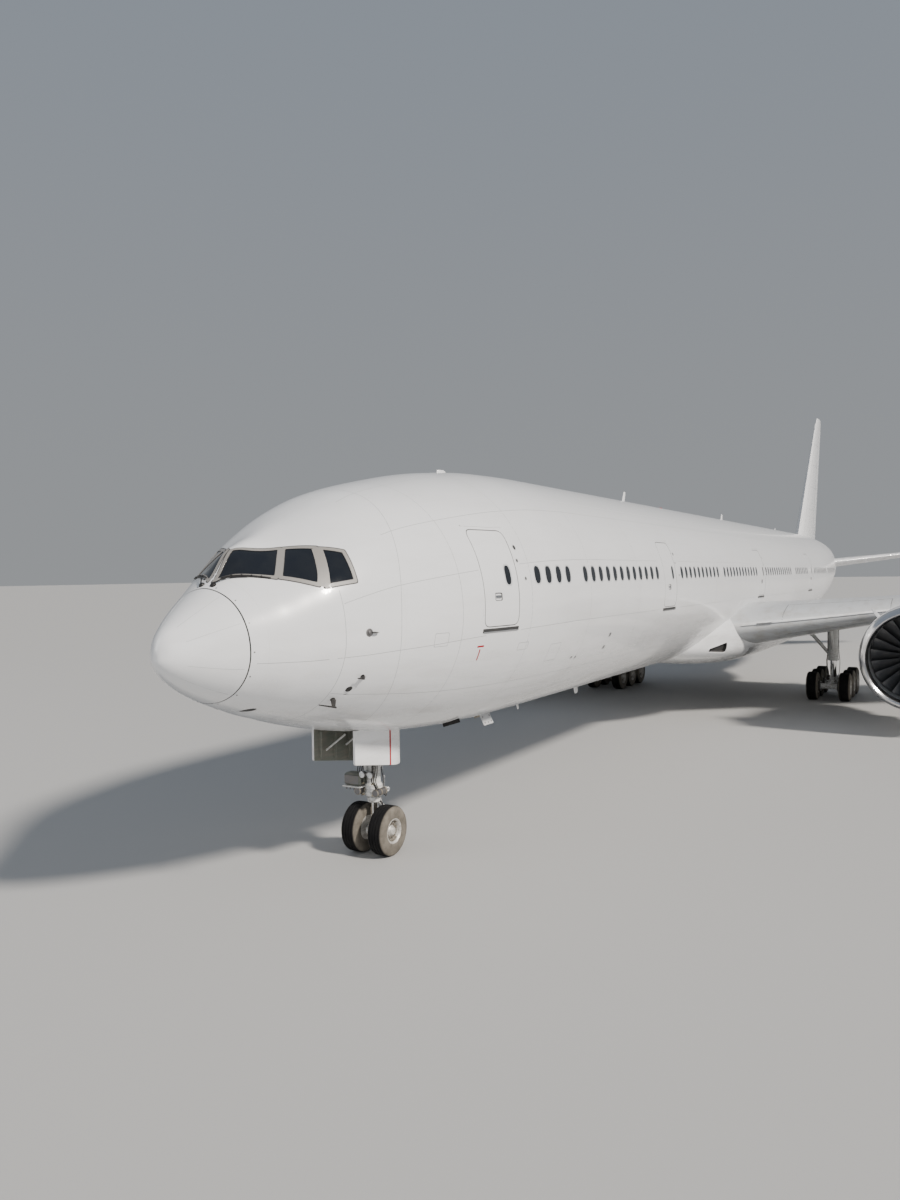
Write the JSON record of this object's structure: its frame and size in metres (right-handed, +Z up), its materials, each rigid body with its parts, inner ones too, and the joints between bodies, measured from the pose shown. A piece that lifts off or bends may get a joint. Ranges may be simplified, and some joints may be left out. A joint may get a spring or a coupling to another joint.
{
  "type": "wide body airliner, half size model",
  "caption": "Long low-wing jet airliner parked on its gear, at half size, with freely turning fans and wheels, steering axles, hinged control surfaces and cargo doors.",
  "frame": {"origin": "on the ground under the middle of the bounding box, half way along the aeroplane and on its centre plane", "axes": "+X to port, +Y aft towards the tail, +Z up"},
  "size_m": [32.4, 36.93, 9.3],
  "materials": {
    "skin_white": "gloss",
    "wing_grey": "satin",
    "cockpit_glass": "gloss",
    "engine_metal": "satin",
    "fan_titanium": "satin",
    "gear_paint": "satin",
    "chrome_piston": "polished",
    "tyre": "matte",
    "radome": "satin"
  },
  "bodies": {
    "airframe": {"windshield_left": "cockpit_glass", "sliding_window_left": "cockpit_glass", "aft_window_left": "cockpit_glass", "passenger_door_1_left": "skin_white", "passenger_door_2_left": "skin_white", "passenger_door_3_left": "skin_white", "passenger_door_4_left": "skin_white", "passenger_door_5_left": "skin_white", "windshield_right": "cockpit_glass", "sliding_window_right": "cockpit_glass", "aft_window_right": "cockpit_glass", "passenger_door_1_right": "skin_white", "passenger_door_2_right": "skin_white", "passenger_door_3_right": "skin_white", "passenger_door_4_right": "skin_white", "passenger_door_5_right": "skin_white", "inboard_flap_left": "wing_grey", "outboard_flap_left": "wing_grey", "wing_left": "wing_grey", "inboard_flap_right": "wing_grey", "outboard_flap_right": "wing_grey", "wing_right": "wing_grey", "wing_body_fairing": "skin_white", "horizontal_stabiliser_left": "skin_white", "horizontal_stabiliser_right": "skin_white", "fin": "skin_white", "engine_cowl_left": "skin_white", "engine_core_left": "engine_metal", "engine_pylon_left": "skin_white", "engine_cowl_right": "skin_white", "engine_core_right": "engine_metal", "engine_pylon_right": "skin_white", "nose_gear_leg": "gear_paint", "nose_gear_door_left": "skin_white", "nose_gear_door_right": "skin_white", "main_gear_left": "gear_paint", "main_gear_right": "gear_paint", "radome": "radome", "fuselage": "skin_white"},
    "cargo_door_forward": {"cargo_door_forward": "skin_white"},
    "cargo_door_aft": {"cargo_door_aft": "skin_white"},
    "flaperon_left": {"flaperon_left": "wing_grey"},
    "aileron_left": {"aileron_left": "wing_grey"},
    "elevator_left": {"elevator_left": "skin_white"},
    "flaperon_right": {"flaperon_right": "wing_grey"},
    "aileron_right": {"aileron_right": "wing_grey"},
    "elevator_right": {"elevator_right": "skin_white"},
    "rudder": {"rudder": "skin_white"},
    "engine_fan_left": {"engine_fan_left": "fan_titanium"},
    "engine_fan_right": {"engine_fan_right": "fan_titanium"},
    "nose_gear_piston": {"nose_gear_piston": "chrome_piston"},
    "nose_wheels": {"nose_wheels": "tyre"},
    "aft_axle_left": {"aft_axle_left": "gear_paint"},
    "main_wheels_front_left": {"main_wheels_front_left": "tyre"},
    "main_wheels_middle_left": {"main_wheels_middle_left": "tyre"},
    "main_wheels_aft_left": {"main_wheels_aft_left": "tyre"},
    "aft_axle_right": {"aft_axle_right": "gear_paint"},
    "main_wheels_front_right": {"main_wheels_front_right": "tyre"},
    "main_wheels_middle_right": {"main_wheels_middle_right": "tyre"},
    "main_wheels_aft_right": {"main_wheels_aft_right": "tyre"}
  },
  "joints": [
    {"name": "cargo_door_forward_hinge", "type": "hinge", "parent": "airframe", "child": "cargo_door_forward", "pos_m": [-1.53571, -12.665, 2.59], "axis": [0, 1, 0], "range_deg": [0, 130]},
    {"name": "cargo_door_aft_hinge", "type": "hinge", "parent": "airframe", "child": "cargo_door_aft", "pos_m": [-1.53175, 6.135, 2.59], "axis": [0, 1, 0], "range_deg": [0, 130]},
    {"name": "flaperon_left_hinge", "type": "hinge", "parent": "airframe", "child": "flaperon_left", "pos_m": [4.5, 1.02283, 2.19291], "axis": [0.9485, 0.2928, 0.121], "range_deg": [-30, 12]},
    {"name": "aileron_left_hinge", "type": "hinge", "parent": "airframe", "child": "aileron_left", "pos_m": [11.3, 4.0326, 3.06561], "axis": [0.8915, 0.4364, 0.1215], "range_deg": [-20, 25]},
    {"name": "elevator_left_hinge", "type": "hinge", "parent": "airframe", "child": "elevator_left", "pos_m": [1, 15.90367, 3.34619], "axis": [0.8843, 0.4539, 0.1095], "range_deg": [-25, 30]},
    {"name": "flaperon_right_hinge", "type": "hinge", "parent": "airframe", "child": "flaperon_right", "pos_m": [-4.5, 1.02283, 2.19291], "axis": [-0.9485, 0.2928, 0.121], "range_deg": [-12, 30]},
    {"name": "aileron_right_hinge", "type": "hinge", "parent": "airframe", "child": "aileron_right", "pos_m": [-11.3, 4.0326, 3.06561], "axis": [-0.8915, 0.4364, 0.1215], "range_deg": [-25, 20]},
    {"name": "elevator_right_hinge", "type": "hinge", "parent": "airframe", "child": "elevator_right", "pos_m": [-1, 15.90367, 3.34619], "axis": [-0.8843, 0.4539, 0.1095], "range_deg": [-30, 25]},
    {"name": "rudder_hinge", "type": "hinge", "parent": "airframe", "child": "rudder", "pos_m": [0, 14.92, 4.5], "axis": [0, 0.4548, 0.8906], "range_deg": [-27, 27]},
    {"name": "fan_spin_left", "type": "hinge", "parent": "airframe", "child": "engine_fan_left", "pos_m": [4.805, -5.465, 1.435], "axis": [0, 1, 0], "continuous": true},
    {"name": "fan_spin_right", "type": "hinge", "parent": "airframe", "child": "engine_fan_right", "pos_m": [-4.805, -5.465, 1.435], "axis": [0, 1, 0], "continuous": true},
    {"name": "nose_steering", "type": "hinge", "parent": "airframe", "child": "nose_gear_piston", "pos_m": [0, -15.425, 0.273], "axis": [0, 0, 1], "range_deg": [-70, 70]},
    {"name": "nose_wheel_spin", "type": "hinge", "parent": "nose_gear_piston", "child": "nose_wheels", "pos_m": [-0.25, -15.425, 0.273], "axis": [1, 0, 0], "continuous": true},
    {"name": "aft_axle_steering_left", "type": "hinge", "parent": "airframe", "child": "aft_axle_left", "pos_m": [2.7425, 0.755, 0.33], "axis": [0, 0, 1], "range_deg": [-8, 8]},
    {"name": "front_wheel_spin_left", "type": "hinge", "parent": "airframe", "child": "main_wheels_front_left", "pos_m": [2.4925, -0.715, 0.33], "axis": [1, 0, 0], "continuous": true},
    {"name": "middle_wheel_spin_left", "type": "hinge", "parent": "airframe", "child": "main_wheels_middle_left", "pos_m": [2.4925, 0.02, 0.33], "axis": [1, 0, 0], "continuous": true},
    {"name": "aft_wheel_spin_left", "type": "hinge", "parent": "aft_axle_left", "child": "main_wheels_aft_left", "pos_m": [2.4925, 0.755, 0.33], "axis": [1, 0, 0], "continuous": true},
    {"name": "aft_axle_steering_right", "type": "hinge", "parent": "airframe", "child": "aft_axle_right", "pos_m": [-2.7425, 0.755, 0.33], "axis": [0, 0, 1], "range_deg": [-8, 8]},
    {"name": "front_wheel_spin_right", "type": "hinge", "parent": "airframe", "child": "main_wheels_front_right", "pos_m": [-2.9925, -0.715, 0.33], "axis": [1, 0, 0], "continuous": true},
    {"name": "middle_wheel_spin_right", "type": "hinge", "parent": "airframe", "child": "main_wheels_middle_right", "pos_m": [-2.9925, 0.02, 0.33], "axis": [1, 0, 0], "continuous": true},
    {"name": "aft_wheel_spin_right", "type": "hinge", "parent": "aft_axle_right", "child": "main_wheels_aft_right", "pos_m": [-2.9925, 0.755, 0.33], "axis": [1, 0, 0], "continuous": true}
  ]
}
